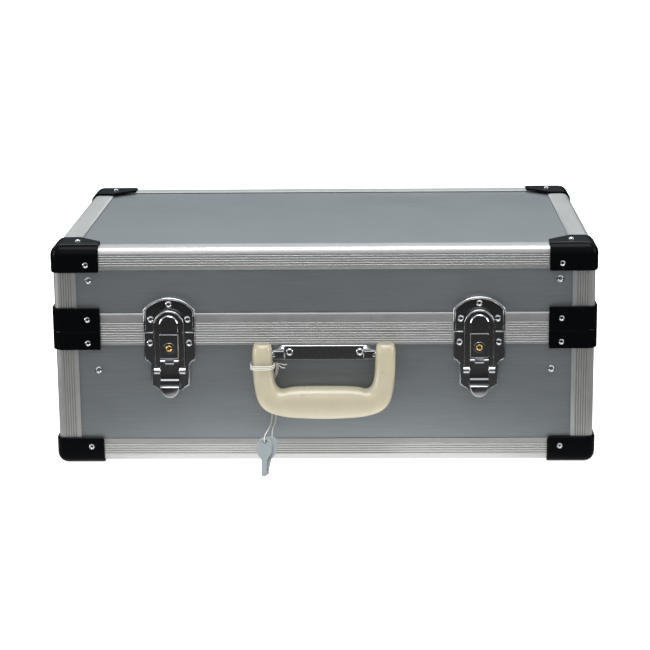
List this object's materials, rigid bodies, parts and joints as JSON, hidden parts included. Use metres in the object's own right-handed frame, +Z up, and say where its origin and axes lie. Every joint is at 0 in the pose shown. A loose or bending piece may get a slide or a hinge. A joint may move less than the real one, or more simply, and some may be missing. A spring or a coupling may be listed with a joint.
{
  "type": "art supply box",
  "caption": "Rectangular aluminium-framed carrying case with a hinged lid, key-locking draw latches, plastic corners and a swinging handle.",
  "frame": {"origin": "on the surface the case stands on, under the middle of the case's box, handle and hinges included", "axes": "+Z up, +X to the right along the width seen from the front, the front with latches and handle faces -Y"},
  "size_m": [0.505, 0.3872, 0.209],
  "materials": {
    "panel": "brushed aluminium laminate on fibreboard, satin",
    "rail": "ribbed anodised extrusion, satin",
    "black_plastic": "moulded ABS, semi-gloss",
    "chrome": "pressed steel, bright chrome plated",
    "brass": "turned brass",
    "cream_plastic": "moulded, slightly translucent cream",
    "lining": "black foam-backed lining",
    "hinge_steel": "zinc plated steel",
    "key_steel": "nickel plated",
    "string": "white twisted string"
  },
  "bodies": {
    "base": {"base_bottom_panel": "panel", "base_front_panel": "panel", "base_back_panel": "panel", "base_left_panel": "panel", "base_right_panel": "panel", "base_edge_frame": "rail", "base_post_rear_right": "rail", "base_post_rear_left": "rail", "base_post_front_left": "rail", "base_post_front_right": "rail", "base_closing_frame": "rail", "base_bottom_corner_rear_right": "black_plastic", "base_bottom_corner_rear_left": "black_plastic", "base_bottom_corner_front_left": "black_plastic", "base_bottom_corner_front_right": "black_plastic", "base_closing_corner_rear_right": "black_plastic", "base_closing_corner_rear_left": "black_plastic", "base_closing_corner_front_left": "black_plastic", "base_closing_corner_front_right": "black_plastic", "base_lining": "lining", "hinge_left_base_leaf": "hinge_steel", "hinge_right_base_leaf": "hinge_steel", "latch_left_base_plate": "chrome", "latch_right_base_plate": "chrome", "handle_bracket": "chrome"},
    "lid": {"lid_top_panel": "panel", "lid_front_panel": "panel", "lid_back_panel": "panel", "lid_left_panel": "panel", "lid_right_panel": "panel", "lid_edge_frame": "rail", "lid_post_rear_right": "rail", "lid_post_rear_left": "rail", "lid_post_front_left": "rail", "lid_post_front_right": "rail", "lid_closing_frame": "rail", "lid_top_corner_rear_right": "black_plastic", "lid_top_corner_rear_left": "black_plastic", "lid_top_corner_front_left": "black_plastic", "lid_top_corner_front_right": "black_plastic", "lid_closing_corner_rear_right": "black_plastic", "lid_closing_corner_rear_left": "black_plastic", "lid_closing_corner_front_left": "black_plastic", "lid_closing_corner_front_right": "black_plastic", "lid_lining": "lining", "hinge_left_lid_leaf": "hinge_steel", "hinge_right_lid_leaf": "hinge_steel", "latch_left_strike_plate": "chrome", "latch_right_strike_plate": "chrome"},
    "latch_left_lever": {"latch_left_lever": "chrome"},
    "latch_left_hasp": {"latch_left_hasp": "chrome"},
    "latch_left_lock_cylinder": {"latch_left_lock_cylinder": "brass"},
    "latch_right_lever": {"latch_right_lever": "chrome"},
    "latch_right_hasp": {"latch_right_hasp": "chrome"},
    "latch_right_lock_cylinder": {"latch_right_lock_cylinder": "brass"},
    "handle": {"handle_grip": "cream_plastic", "key_string_loop": "string"},
    "keys": {"key_string": "string", "key_front": "key_steel", "key_back": "key_steel"}
  },
  "joints": [
    {"name": "lid_hinge", "type": "hinge", "parent": "base", "child": "lid", "pos_m": [0, 0.18075, 0.1275], "axis": [-1, 0, 0], "range_deg": [0, 95]},
    {"name": "latch_left_lever_swing", "type": "hinge", "parent": "base", "child": "latch_left_lever", "pos_m": [-0.1433, -0.15925, 0.0995], "axis": [-1, 0, 0], "range_deg": [0, 110]},
    {"name": "latch_left_hasp_swing", "type": "hinge", "parent": "latch_left_lever", "child": "latch_left_hasp", "pos_m": [-0.1433, -0.15945, 0.091], "axis": [-1, 0, 0], "range_deg": [-110, 0]},
    {"name": "latch_left_lock_turn", "type": "hinge", "parent": "base", "child": "latch_left_lock_cylinder", "pos_m": [-0.1433, -0.15985, 0.113], "axis": [0, 1, 0], "range_deg": [0, 90]},
    {"name": "latch_right_lever_swing", "type": "hinge", "parent": "base", "child": "latch_right_lever", "pos_m": [0.1433, -0.15925, 0.0995], "axis": [-1, 0, 0], "range_deg": [0, 110]},
    {"name": "latch_right_hasp_swing", "type": "hinge", "parent": "latch_right_lever", "child": "latch_right_hasp", "pos_m": [0.1433, -0.15945, 0.091], "axis": [-1, 0, 0], "range_deg": [-110, 0]},
    {"name": "latch_right_lock_turn", "type": "hinge", "parent": "base", "child": "latch_right_lock_cylinder", "pos_m": [0.1433, -0.15985, 0.113], "axis": [0, 1, 0], "range_deg": [0, 90]},
    {"name": "handle_swing", "type": "hinge", "parent": "base", "child": "handle", "pos_m": [0, -0.16375, 0.1075], "axis": [-1, 0, 0], "range_deg": [0, 155]},
    {"name": "key_hang", "type": "hinge", "parent": "handle", "child": "keys", "pos_m": [-0.0437, -0.15825, 0.0975], "axis": [-1, 0, 0], "range_deg": [-155, 0]}
  ],
  "couplings": [
    {"joint": "latch_left_hasp_swing", "follows": "latch_left_lever_swing", "ratio": -1},
    {"joint": "latch_right_hasp_swing", "follows": "latch_right_lever_swing", "ratio": -1},
    {"joint": "key_hang", "follows": "handle_swing", "ratio": -1}
  ]
}
